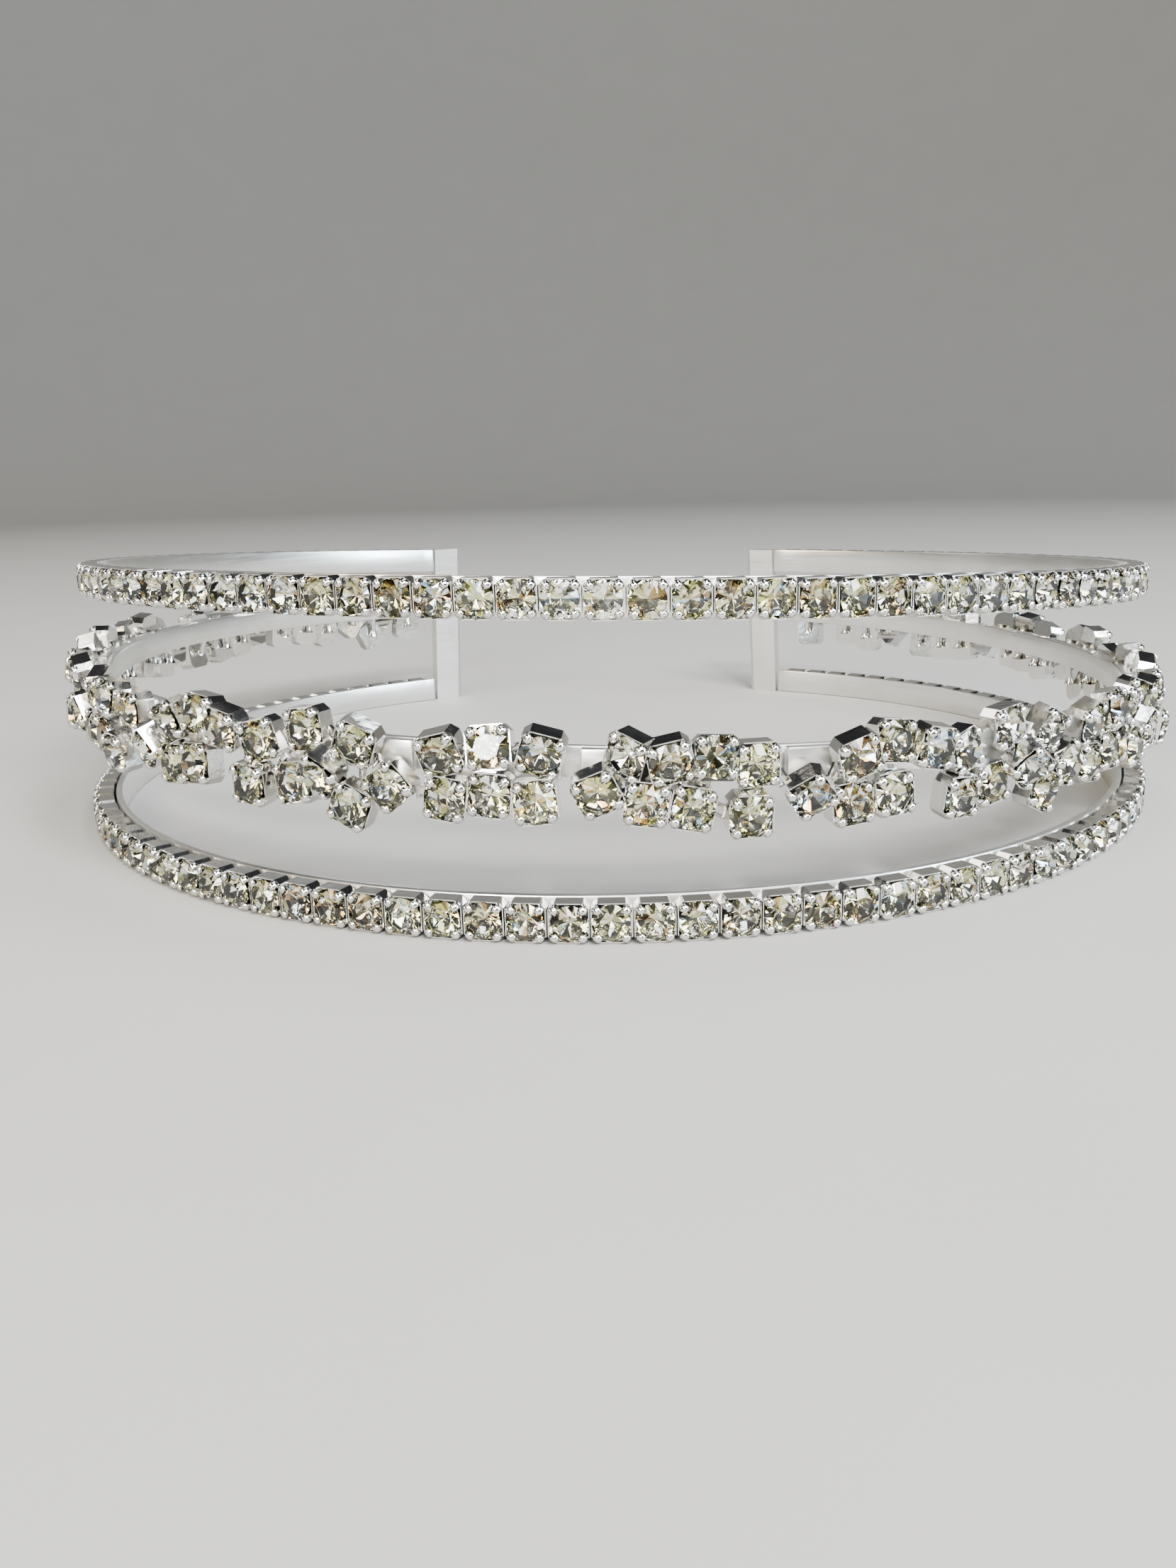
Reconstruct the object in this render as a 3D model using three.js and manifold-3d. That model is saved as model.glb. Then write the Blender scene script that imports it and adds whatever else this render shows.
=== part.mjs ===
// A three-row crystal cuff bracelet, standing on its bottom row: three open bands, an end bar on
// each side of the opening, and the settings with their crystals, soldered along the bands.
// Millimetres. +Z is up, the front of the cuff faces -Y and its opening is at the back.

import * as THREE from 'three';
import Module from 'manifold-3d';

const wasm = await Module();
wasm.setup();

// ---- Driving dimensions ----

const HALF_WIDTH = 32.6;      // from the middle of the cuff to the outer face of a band
const CENTRE_Y = 3.01;        // middle of the top row, which sits behind the middle of the whole
const BAND_THICKNESS = 0.4;
const BAND_FACET = 4.5;       // length of one flat of a band
const PIECE_GAP = 0.14;       // clear space between neighbouring pieces
const ROUND_MARGIN = 0.4;     // bare band between the last setting and its end
const BAR_GAP = 0.2;          // from the end of a band to the end bar

const CUP_PITCH = 1.885;      // one crystal to the next, measured along the band
const CUP_SIZE = 1.88;        // height of a setting, and its width across the claws
const CUP_DEPTH = 1.25;       // from the back of a setting to the table of its crystal
const GROOVE_SIZE = 1.4;      // height of the link between two settings
const GROOVE_DEPTH = 0.55;
const STRETCHES = 10;         // solids that the settings of a plain row are made in

const SPRIG_REPEATS = 5;      // times that the four sprigs follow each other
const SPRIG_REPEAT = 33.2;    // length of the four sprigs together
const SPRIG_START = -81.6;    // where the first sprig begins, from the front of the middle band
const SPRIG_STANDOFF = 0.35;  // what the sprigs' settings stand out from the band
const BACKING_DEPTH = 0.5;    // soldered strip behind the settings of a sprig
const FOOT_HALF = 0.2;        // half the width of a setting's soldered foot
const FOOT_REACH = 0.35;      // furthest that the foot is from the strip's middle line
const BACK_HALF = 0.8;        // half the width of a sprig's setting at the back
const BACK_DEPTH = 0.3;       // how far its foot spreads before the back is full width
const FRONT_HALF = 1.0;       // half the width of its front
const SPRIG_DEPTH = 1.4;      // from its back to the table of its crystal

const BAR_WIDTH = 2.4;
const BAR_THICKNESS = 1.1;
const BAR_CHAMFER = 0.35;

// Each row: its outer face is an ellipse, and its height changes evenly across the cuff.
// halfDepth and middleY lay out the ellipse, height is its middle line over the centre,
// riseX and riseY what it climbs per millimetre, cups the crystals that fit along it.
const ROWS = {
  bottom: { halfDepth: 32.0, middleY: -1.2, height: 0.95, riseX: 0, riseY: 0, band: 1.9, cups: 90 },
  middle: { halfDepth: 31.2, middleY: -0.6, height: 7.72, riseX: -0.036, riseY: 0, band: 1.5, cups: 88 },
  top: { halfDepth: 30.4, middleY: 0, height: 13.4, riseX: -0.025, riseY: -0.053, band: 1.9, cups: 88 },
};

// The four sprigs of the middle row. Each line is one setting: where it is along the repeat, how
// far it is above the band's middle line, how far it stands out, and how it is turned in its own
// plane, leaned up and swung sideways, in degrees.
const SPRIGS = [
  [
    { along: -0.45, up: -1.65, out: 0.0, turn: 8, lean: 0, swing: 0 },
    { along: 0.45, up: 1.05, out: 0.1, turn: 8, lean: 0, swing: 0 },
    { along: 1.5, up: -0.55, out: 0.8, turn: -40, lean: -25, swing: -10 },
    { along: 2.75, up: -2.25, out: 0.4, turn: -25, lean: -5, swing: 0 },
    { along: 3.1, up: 0.85, out: 0.35, turn: -25, lean: -14, swing: 0 },
    { along: 4.65, up: -1.1, out: 0.45, turn: 40, lean: -5, swing: 0 },
  ],
  [
    { along: 7.0, up: 0.6, out: 0.2, turn: 15, lean: -12, swing: 0 },
    { along: 7.15, up: -1.65, out: 0.1, turn: -8, lean: 0, swing: 0 },
    { along: 9.25, up: 0.75, out: 0.45, turn: 5, lean: 12, swing: 0 },
    { along: 9.15, up: -1.4, out: 0.15, turn: -4, lean: 4, swing: 0 },
    { along: 11.45, up: 0.85, out: 0.3, turn: -16, lean: -12, swing: 0 },
    { along: 11.2, up: -1.45, out: 0.7, turn: 5, lean: 4, swing: 0 },
  ],
  [
    { along: 13.8, up: -0.75, out: 0.7, turn: 24, lean: -14, swing: 0 },
    { along: 15.5, up: 0.65, out: 0.0, turn: -20, lean: -5, swing: -35 },
    { along: 15.85, up: -1.5, out: 0.3, turn: -8, lean: 0, swing: 0 },
    { along: 16.9, up: 0.55, out: 0.3, turn: 12, lean: -10, swing: 0 },
    { along: 17.8, up: -1.7, out: 0.3, turn: -12, lean: 0, swing: 0 },
    { along: 18.8, up: 0.5, out: 0.45, turn: -3, lean: 10, swing: 0 },
    { along: 20.7, up: 0.2, out: 0.0, turn: 0, lean: 0, swing: 0 },
    { along: 20.2, up: -1.85, out: 0.8, turn: 0, lean: -8, swing: 0 },
  ],
  [
    { along: 23.05, up: -0.9, out: 0.6, turn: 34, lean: -22, swing: -8 },
    { along: 25.0, up: -1.8, out: 0.2, turn: 5, lean: 0, swing: 0 },
    { along: 25.2, up: 0.6, out: 0.5, turn: 20, lean: -12, swing: 0 },
    { along: 27.1, up: 0.9, out: 0.1, turn: -6, lean: 5, swing: 0 },
    { along: 26.95, up: -1.5, out: 0.4, turn: 4, lean: 4, swing: 0 },
    { along: 29.0, up: 0.7, out: 0.5, turn: -12, lean: -8, swing: 0 },
    { along: 30.5, up: -1.85, out: 0.45, turn: -3, lean: -6, swing: 0 },
    { along: 30.85, up: 0.2, out: 0.1, turn: 15, lean: 0, swing: 10 },
  ],
];

const RHODIUM = { color: 0xc9cacc, metalness: 1, roughness: 0.28 };
const SETTING = { color: 0xdedcd6, metalness: 0.6, roughness: 0.2 };

// ---- Solids ----

const piece = new THREE.Group();
piece.position.y = CENTRE_Y;

function addPiece(name, geometry, finish) {
  geometry.computeVertexNormals();
  const mesh = new THREE.Mesh(geometry, new THREE.MeshStandardMaterial(finish));
  mesh.name = name;
  piece.add(mesh);
}

function solidGeometry(positions, triangles) {
  const geometry = new THREE.BufferGeometry();
  geometry.setAttribute('position', new THREE.Float32BufferAttribute(positions, 3));
  geometry.setIndex(triangles);
  return geometry;
}

// A closed solid through a list of rings with the same number of corners.
function loft(rings) {
  const corners = rings[0].length;
  const triangles = [];
  for (let ring = 0; ring + 1 < rings.length; ring += 1) {
    for (let corner = 0; corner < corners; corner += 1) {
      const near = ring * corners;
      const far = near + corners;
      const next = (corner + 1) % corners;
      triangles.push(near + corner, far + corner, far + next);
      triangles.push(near + corner, far + next, near + next);
    }
  }
  const last = (rings.length - 1) * corners;
  for (let corner = 1; corner + 1 < corners; corner += 1) {
    triangles.push(0, corner, corner + 1);
    triangles.push(last, last + corner + 1, last + corner);
  }
  const positions = rings.flat().flatMap((point) => point.toArray());
  return solidGeometry(positions, triangles);
}

function toManifold(geometry) {
  const vertProperties = geometry.getAttribute('position').array;
  const triVerts = new Uint32Array(geometry.getIndex().array);
  return new wasm.Manifold(new wasm.Mesh({ numProp: 3, vertProperties, triVerts }));
}

function fromManifold(solid) {
  const mesh = solid.getMesh();
  return solidGeometry(mesh.vertProperties, Array.from(mesh.triVerts));
}

// ---- Where things are on a row ----

const UP = new THREE.Vector3(0, 0, 1);

class RowPath {
  constructor(row) {
    this.row = row;
    const quarter = 0.5 * Math.PI;
    this.curve = new THREE.EllipseCurve(0, row.middleY, HALF_WIDTH, row.halfDepth, -3 * quarter, quarter);
    this.curve.arcLengthDivisions = 1500;
    this.length = this.curve.getLength();
    this.halfArc = row.cups * CUP_PITCH / 2;
  }

  // The band's outer face at a distance along it from the front, with the way on and the way out.
  at(along) {
    const share = 0.5 + along / this.length;
    const spot = this.curve.getPointAt(share);
    const way = this.curve.getTangentAt(share);
    const { height, riseX, riseY } = this.row;
    return {
      origin: new THREE.Vector3(spot.x, spot.y, height + riseX * spot.x + riseY * spot.y),
      ahead: new THREE.Vector3(way.x, way.y, 0),
      outward: new THREE.Vector3(way.y, -way.x, 0),
    };
  }

  // A ring across the row: a rectangle from one distance out to another, and between two heights.
  ring(along, inner, outer, low, high) {
    const { origin, outward } = this.at(along);
    const corner = (out, up) => origin.clone().addScaledVector(outward, out).addScaledVector(UP, up);
    return [corner(inner, low), corner(outer, low), corner(outer, high), corner(inner, high)];
  }

  // A strip that follows the row, in flats of at most the given length.
  strip(from, to, facet, inner, outer, low, high) {
    const flats = Math.ceil((to - from) / facet);
    const rings = [];
    for (let step = 0; step <= flats; step += 1) {
      const along = from + (to - from) * step / flats;
      rings.push(this.ring(along, inner, outer, low, high));
    }
    return loft(rings);
  }
}

// ---- Bands ----

function band(path) {
  const end = path.halfArc + ROUND_MARGIN;
  const half = path.row.band / 2;
  return path.strip(-end, end, BAND_FACET, -BAND_THICKNESS, 0, -half, half);
}

// ---- Plain rows: one line of settings, each a square block with a groove to the next ----

function settingStretch(path, first, last) {
  const rings = [];
  const back = PIECE_GAP;
  const half = CUP_SIZE / 2;
  const groove = GROOVE_SIZE / 2;
  const reach = (CUP_PITCH - PIECE_GAP) / 2;
  for (let cup = first; cup < last; cup += 1) {
    const middle = (cup + 0.5) * CUP_PITCH - path.halfArc;
    rings.push(path.ring(middle - reach, back, back + CUP_DEPTH, -half, half));
    rings.push(path.ring(middle + reach, back, back + CUP_DEPTH, -half, half));
    if (cup + 1 < last) {
      rings.push(path.ring(middle + CUP_PITCH / 2, back, back + GROOVE_DEPTH, -groove, groove));
    }
  }
  return loft(rings);
}

// ---- Sprigs: settings at odd angles on a soldered strip ----

// A setting spreads from its foot, soldered on the strip, to a cup that opens to the front.
function sprigSetting(path, along, setting) {
  const { origin, ahead, outward } = path.at(along);
  const [turn, lean, swing] = [setting.turn, setting.lean, setting.swing].map(THREE.MathUtils.degToRad);
  const turned = new THREE.Matrix4()
    .makeBasis(ahead, UP, outward)
    .multiply(new THREE.Matrix4().makeRotationFromEuler(new THREE.Euler(-lean, swing, turn, 'YXZ')));
  const square = (out, up, height, half) => {
    const middle = origin.clone().addScaledVector(outward, out).addScaledVector(UP, up);
    const corners = [[half, -half], [half, half], [-half, half], [-half, -half]];
    return corners.map(([x, y]) => new THREE.Vector3(x, y, height).applyMatrix4(turned).add(middle));
  };
  const back = PIECE_GAP + SPRIG_STANDOFF + setting.out;
  const level = THREE.MathUtils.clamp(setting.up, -FOOT_REACH, FOOT_REACH);
  return toManifold(loft([
    square(back, setting.up, SPRIG_DEPTH, FRONT_HALF),
    square(back, setting.up, BACK_DEPTH, BACK_HALF),
    square(PIECE_GAP + BACKING_DEPTH / 2, level, 0, FOOT_HALF),
  ]));
}

function sprig(path, start, settings) {
  const half = path.row.band / 2;
  const alongs = settings.map((setting) => start + setting.along);
  const [from, to] = [Math.min(...alongs) - half, Math.max(...alongs) + half];
  const strip = path.strip(from, to, BAND_FACET, PIECE_GAP, PIECE_GAP + BACKING_DEPTH, -half, half);
  return fromManifold(settings.reduce(
    (solid, setting, order) => solid.add(sprigSetting(path, alongs[order], setting)),
    toManifold(strip),
  ));
}

// ---- End bars: each closes the three bands at one side of the opening ----

function endBar(paths, side) {
  const end = (path) => side * (path.halfArc + ROUND_MARGIN + BAR_GAP);
  const foot = paths.bottom.at(end(paths.bottom));
  const head = paths.top.at(end(paths.top));
  const low = foot.origin.z - paths.bottom.row.band / 2;
  const high = head.origin.z + paths.top.row.band / 2;
  const [w, t, c] = [BAR_WIDTH, BAR_THICKNESS, BAR_CHAMFER];
  const outline = [[0, 0], [w - c, 0], [w, c], [w, t - c], [w - c, t], [0, t]];
  const rings = [[foot, low], [head, high]].map(([place, height]) => {
    const ring = outline.map(([onward, out]) => {
      const spot = place.origin.clone().addScaledVector(place.ahead, side * onward);
      return spot.addScaledVector(place.outward, out - BAND_THICKNESS).setZ(height);
    });
    return side > 0 ? ring : ring.reverse();
  });
  return loft(rings);
}

// ---- The cuff ----

const paths = {
  bottom: new RowPath(ROWS.bottom),
  middle: new RowPath(ROWS.middle),
  top: new RowPath(ROWS.top),
};

for (const [name, path] of Object.entries(paths)) {
  addPiece(`${name}_band`, band(path), RHODIUM);
}

for (const name of ['bottom', 'top']) {
  const path = paths[name];
  for (let stretch = 0; stretch < STRETCHES; stretch += 1) {
    const first = Math.round(stretch * path.row.cups / STRETCHES);
    const last = Math.round((stretch + 1) * path.row.cups / STRETCHES);
    addPiece(`${name}_settings_${stretch + 1}`, settingStretch(path, first, last), SETTING);
  }
}

for (let repeat = 0; repeat < SPRIG_REPEATS; repeat += 1) {
  SPRIGS.forEach((settings, kind) => {
    const start = SPRIG_START + repeat * SPRIG_REPEAT;
    const number = repeat * SPRIGS.length + kind + 1;
    addPiece(`middle_sprig_${number}`, sprig(paths.middle, start, settings), SETTING);
  });
}

addPiece('left_end_bar', endBar(paths, -1), RHODIUM);
addPiece('right_end_bar', endBar(paths, 1), RHODIUM);

export default piece;
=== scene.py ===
"""Dresses the crystal cuff bracelet: rolled bands, cup chain, cut crystals and a plain studio.

Lengths are millimetres unless a comment says metres. A piece is modelled in millimetres, and
to_frame() brings its finished mesh to metres, in the frame's own place.
"""

import bisect
import itertools
import math
import random

import bmesh
import bpy
from mathutils import Euler, Matrix, Vector


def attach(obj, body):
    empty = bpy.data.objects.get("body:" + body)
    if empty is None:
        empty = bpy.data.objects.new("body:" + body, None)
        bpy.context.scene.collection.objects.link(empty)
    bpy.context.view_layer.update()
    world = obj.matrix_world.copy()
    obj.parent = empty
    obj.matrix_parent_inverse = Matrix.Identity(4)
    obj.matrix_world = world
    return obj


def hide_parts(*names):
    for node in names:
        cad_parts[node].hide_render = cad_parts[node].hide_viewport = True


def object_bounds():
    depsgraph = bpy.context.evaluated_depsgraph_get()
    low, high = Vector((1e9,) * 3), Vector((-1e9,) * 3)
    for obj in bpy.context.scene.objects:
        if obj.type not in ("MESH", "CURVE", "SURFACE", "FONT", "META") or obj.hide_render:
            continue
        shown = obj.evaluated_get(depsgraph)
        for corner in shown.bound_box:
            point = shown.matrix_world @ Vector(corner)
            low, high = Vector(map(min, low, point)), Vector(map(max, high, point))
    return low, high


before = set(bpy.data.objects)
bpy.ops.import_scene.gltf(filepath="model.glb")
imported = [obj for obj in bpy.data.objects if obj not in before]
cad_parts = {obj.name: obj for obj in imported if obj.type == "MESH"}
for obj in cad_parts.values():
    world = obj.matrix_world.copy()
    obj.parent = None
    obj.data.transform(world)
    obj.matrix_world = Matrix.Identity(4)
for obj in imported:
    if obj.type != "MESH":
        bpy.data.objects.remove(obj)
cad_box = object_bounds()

bl_info = {
    "name": "Crystal Cuff Bracelet",
    "version": (1, 0, 0),
    "blender": (4, 5, 0),
    "location": "3D View > Sidebar > Cuff",
    "description": "Models the bands, settings and crystals of a cuff bracelet on its packed frame",
    "category": "Object",
}

# ---- Sizes shared with the solids ----

MM = 0.001                # metres in a millimetre
HALF_WIDTH = 32.6         # from the middle of the cuff to the outer face of a band
CENTRE_Y = 3.01           # middle of the top row, which sits behind the middle of the whole
BAND_THICKNESS = 0.4
PIECE_GAP = 0.14          # clear space between neighbouring pieces
ROUND_MARGIN = 0.4        # bare band between the last setting and its end
CUP_PITCH = 1.885         # one crystal to the next, measured along the band
SPRIG_REPEATS = 5         # times that the four sprigs follow each other
SPRIG_REPEAT = 33.2       # length of the four sprigs together
SPRIG_START = -81.6       # where the first sprig begins, from the front of the middle band
SPRIG_STANDOFF = 0.35     # what the sprigs' settings stand out from the band
BACKING_DEPTH = 0.5       # soldered strip behind the settings of a sprig
FOOT_REACH = 0.35         # furthest that a setting's foot is from the strip's middle line

# Each row's outer face is an ellipse, and its height changes evenly across the cuff. half_depth
# and middle_y lay out the ellipse, height is its middle line over the centre, rise_x and rise_y
# what it climbs per millimetre, band how high the metal is, and cups how many stand along it.
ROW_COLUMNS = ("half_depth", "middle_y", "height", "rise_x", "rise_y", "band", "cups")
ROWS = {
    "bottom": (32.0, -1.2, 0.95, 0.0, 0.0, 1.9, 90),
    "middle": (31.2, -0.6, 7.72, -0.036, 0.0, 1.5, 88),
    "top": (30.4, 0.0, 13.4, -0.025, -0.053, 1.9, 88),
}

# Each line is one setting: where it is along the repeat, how far above the band's middle line and
# how far out it stands, and its turn in its own plane, lean up and swing sideways, in degrees.
SETTING_COLUMNS = ("along", "up", "out", "turn", "lean", "swing")
SPRIGS = (
    (
        (-0.45, -1.65, 0.0, 8, 0, 0),
        (0.45, 1.05, 0.1, 8, 0, 0),
        (1.5, -0.55, 0.8, -40, -25, -10),
        (2.75, -2.25, 0.4, -25, -5, 0),
        (3.1, 0.85, 0.35, -25, -14, 0),
        (4.65, -1.1, 0.45, 40, -5, 0),
    ),
    (
        (7.0, 0.6, 0.2, 15, -12, 0),
        (7.15, -1.65, 0.1, -8, 0, 0),
        (9.25, 0.75, 0.45, 5, 12, 0),
        (9.15, -1.4, 0.15, -4, 4, 0),
        (11.45, 0.85, 0.3, -16, -12, 0),
        (11.2, -1.45, 0.7, 5, 4, 0),
    ),
    (
        (13.8, -0.75, 0.7, 24, -14, 0),
        (15.5, 0.65, 0.0, -20, -5, -35),
        (15.85, -1.5, 0.3, -8, 0, 0),
        (16.9, 0.55, 0.3, 12, -10, 0),
        (17.8, -1.7, 0.3, -12, 0, 0),
        (18.8, 0.5, 0.45, -3, 10, 0),
        (20.7, 0.2, 0.0, 0, 0, 0),
        (20.2, -1.85, 0.8, 0, -8, 0),
    ),
    (
        (23.05, -0.9, 0.6, 34, -22, -8),
        (25.0, -1.8, 0.2, 5, 0, 0),
        (25.2, 0.6, 0.5, 20, -12, 0),
        (27.1, 0.9, 0.1, -6, 5, 0),
        (26.95, -1.5, 0.4, 4, 4, 0),
        (29.0, 0.7, 0.5, -12, -8, 0),
        (30.5, -1.85, 0.45, -3, -6, 0),
        (30.85, 0.2, 0.1, 15, 0, 10),
    ),
)


# ---- What a user may change ----

class CuffSizes(bpy.types.PropertyGroup):
    """The sizes of a plain row's cups and crystals, and of the bands' edges. The sprigs' cups and
    crystals are larger by SPRIG_SCALE."""
    crystal_width: bpy.props.FloatProperty(
        name="Crystal width", description="Diameter of a crystal, in mm", default=1.8)
    crystal_back: bpy.props.FloatProperty(
        name="Crystal back", description="Point of a crystal above the back of its cup, in mm",
        default=0.18)
    girdle_height: bpy.props.FloatProperty(
        name="Girdle height", description="Girdle above the back of the cup, in mm", default=0.92)
    table_height: bpy.props.FloatProperty(
        name="Table height", description="Table above the back of the cup, in mm", default=1.21)
    cup_width: bpy.props.FloatProperty(
        name="Cup width", description="Outer width of a cup's mouth, in mm", default=1.88)
    cup_depth: bpy.props.FloatProperty(
        name="Cup depth", description="From the back of a cup to its rim, in mm", default=0.88)
    cup_wall: bpy.props.FloatProperty(
        name="Cup wall", description="Thickness of the stamped metal, in mm", default=0.05)
    band_edge: bpy.props.FloatProperty(
        name="Band edge", description="Radius of a band's rolled edges, in mm", default=0.1)


class CuffColours(bpy.types.PropertyGroup):
    """The colours of the plate and of the floor."""
    plate: bpy.props.StringProperty(
        name="Plate", description="Rhodium plate, as an sRGB hex value", default="#E3E2DF")
    tarnish: bpy.props.StringProperty(
        name="Tarnish", description="Warm film where the plate is thin, as an sRGB hex value",
        default="#B4AC92")
    floor: bpy.props.StringProperty(
        name="Floor", description="Painted studio floor, as an sRGB hex value", default="#878683")


def sizes():
    return bpy.context.scene.cuff_sizes


def colours():
    return bpy.context.scene.cuff_colours


# ---- Materials ----

MATERIALS = {}            # the finishes by name, once the operator has made them

# How many marks of each pattern lie in a millimetre. Rolling lines run round the cuff, so they are
# few along X and Y and many up Z. On real strip they are finer: here they are coarse enough to show.
TARNISH_PATCHES = 0.25            # patches of 4 mm
ROLLING_LINES = (0.25, 0.25, 8)   # lines 4 mm long and 0.125 mm apart
POLISHING_WAVES = 2.2             # waves of 0.45 mm
CRYSTAL_WEAR = 0.9                # spots of 1.1 mm
LACQUER_CELLS = 1.5               # cells of 0.7 mm
ROLLER_MOTTLE = 0.06              # mottle of 17 mm


def hex_colour(code):
    """An sRGB hex value as linear red, green, blue and alpha."""
    channels = [int(code[place:place + 2], 16) / 255 for place in (1, 3, 5)]
    linear = [c / 12.92 if c <= 0.04045 else ((c + 0.055) / 1.055) ** 2.4 for c in channels]
    return (*linear, 1.0)


def add_node(tree, kind, settings=None, inputs=None, **links):
    """Adds one node. settings are its own properties, inputs the values of its sockets, and
    links the output sockets that feed the sockets of those names."""
    node = tree.nodes.new(kind)
    for name, value in (settings or {}).items():
        setattr(node, name, value)
    for name, value in (inputs or {}).items():
        node.inputs[name].default_value = value
    for name, output in links.items():
        tree.links.new(output, node.inputs[name])
    return node


def new_material(name):
    """A material with only a Principled shader and an output. Returns it, its tree and shader."""
    material = bpy.data.materials.new(name)
    material.use_nodes = True
    tree = material.node_tree
    tree.nodes.clear()
    shader = add_node(tree, "ShaderNodeBsdfPrincipled")
    add_node(tree, "ShaderNodeOutputMaterial", Surface=shader.outputs["BSDF"])
    return material, tree, shader


def set_ramp(ramp, stops):
    """Gives a colour ramp its stops: (position, linear colour) pairs."""
    while len(ramp.elements) < len(stops):
        ramp.elements.new(0.5)
    for element, (position, colour) in zip(ramp.elements, stops):
        element.position = position
        element.color = colour


def plate_colour(tree, shader, place, tarnish_share):
    """Warms the plate in soft patches where it is thin."""
    patches = add_node(tree, "ShaderNodeTexNoise",
                       inputs={"Scale": TARNISH_PATCHES / MM, "Detail": 3.0}, Vector=place)
    ramp = add_node(tree, "ShaderNodeValToRGB", Fac=patches.outputs["Fac"])
    set_ramp(ramp.color_ramp, [(0.42, (0, 0, 0, 1)), (0.75, (tarnish_share,) * 3 + (1,))])
    mix = add_node(tree, "ShaderNodeMix", {"data_type": "RGBA"},
                   {"A": hex_colour(colours().plate), "B": hex_colour(colours().tarnish)},
                   Factor=ramp.outputs["Color"])
    tree.links.new(mix.outputs["Result"], shader.inputs["Base Color"])


def plate_relief(tree, shader, pattern, roughness, strength, depth):
    """Lets a pattern vary the plate's roughness between two values and its height by a depth."""
    smoothest, roughest = roughness
    rough = add_node(tree, "ShaderNodeMapRange",
                     inputs={"To Min": smoothest, "To Max": roughest},
                     Value=pattern.outputs["Fac"])
    tree.links.new(rough.outputs["Result"], shader.inputs["Roughness"])
    bump = add_node(tree, "ShaderNodeBump",
                    inputs={"Strength": strength, "Distance": depth * MM},
                    Height=pattern.outputs["Fac"])
    tree.links.new(bump.outputs["Normal"], shader.inputs["Normal"])


def satin_plate():
    """Rhodium plate over rolled and tumbled brass strip: a grey satin sheen, drawn out along the
    strip by fine rolling lines, with faint warm patches where the plate is thin."""
    material, tree, shader = new_material("Satin rhodium plate")
    shader.inputs["Metallic"].default_value = 1.0
    place = add_node(tree, "ShaderNodeTexCoord").outputs["Object"]
    plate_colour(tree, shader, place, tarnish_share=0.25)
    stretched = add_node(tree, "ShaderNodeMapping",
                         inputs={"Scale": [marks / MM for marks in ROLLING_LINES]}, Vector=place)
    lines = add_node(tree, "ShaderNodeTexNoise", inputs={"Scale": 1.0, "Detail": 2.0},
                     Vector=stretched.outputs["Vector"])
    plate_relief(tree, shader, lines, roughness=(0.22, 0.42), strength=0.25, depth=0.02)
    return material


def bright_plate():
    """Rhodium plate over stamped brass, barrel polished: mirror bright with softly uneven faces,
    so each wall and claw bends its reflection a little."""
    material, tree, shader = new_material("Bright rhodium plate")
    shader.inputs["Metallic"].default_value = 1.0
    place = add_node(tree, "ShaderNodeTexCoord").outputs["Object"]
    plate_colour(tree, shader, place, tarnish_share=0.35)
    waves = add_node(tree, "ShaderNodeTexNoise",
                     inputs={"Scale": POLISHING_WAVES / MM, "Detail": 2.0}, Vector=place)
    plate_relief(tree, shader, waves, roughness=(0.06, 0.2), strength=0.2, depth=0.04)
    return material


def cut_crystal():
    """Lead crystal, machine cut and polished: clear, sharp facets that show the foil behind and
    are barely dulled where they have been worn."""
    material, tree, shader = new_material("Cut lead crystal")
    shader.inputs["Base Color"].default_value = hex_colour("#FFFFFF")
    shader.inputs["Transmission Weight"].default_value = 1.0
    shader.inputs["IOR"].default_value = 1.56
    place = add_node(tree, "ShaderNodeTexCoord").outputs["Object"]
    wear = add_node(tree, "ShaderNodeTexNoise",
                    inputs={"Scale": CRYSTAL_WEAR / MM, "Detail": 1.0}, Vector=place)
    rough = add_node(tree, "ShaderNodeMapRange",
                     inputs={"From Min": 0.5, "To Min": 0.0, "To Max": 0.03},
                     Value=wear.outputs["Fac"])
    tree.links.new(rough.outputs["Result"], shader.inputs["Roughness"])
    return material


def silver_foil():
    """Vacuum silvering and lacquer on the back of a crystal: a mirror behind each facet, whose
    tone the facet attribute gives, from white through champagne to brown and a little blue. White
    is the silver; the other tones are painted reflections, and the blue and amber ones painted
    dispersion glints. The lacquer mottles it in cells."""
    material, tree, shader = new_material("Silver foil back")
    shader.inputs["Metallic"].default_value = 1.0
    shader.inputs["Roughness"].default_value = 0.02
    # The facet attribute paints reflection tones and dispersion glints into the foil's colour.
    tone = add_node(tree, "ShaderNodeAttribute", {"attribute_name": "facet_tone"})
    place = add_node(tree, "ShaderNodeTexCoord").outputs["Object"]
    cells = add_node(tree, "ShaderNodeTexVoronoi", inputs={"Scale": LACQUER_CELLS / MM},
                     Vector=place)
    shade = add_node(tree, "ShaderNodeMapRange",
                     inputs={"To Min": 0.8, "To Max": 1.0}, Value=cells.outputs["Color"])
    shaded = add_node(tree, "ShaderNodeVectorMath", {"operation": "SCALE"},
                      Scale=shade.outputs["Result"], Vector=tone.outputs["Color"])
    tree.links.new(shaded.outputs["Vector"], shader.inputs["Base Color"])
    return material


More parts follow.
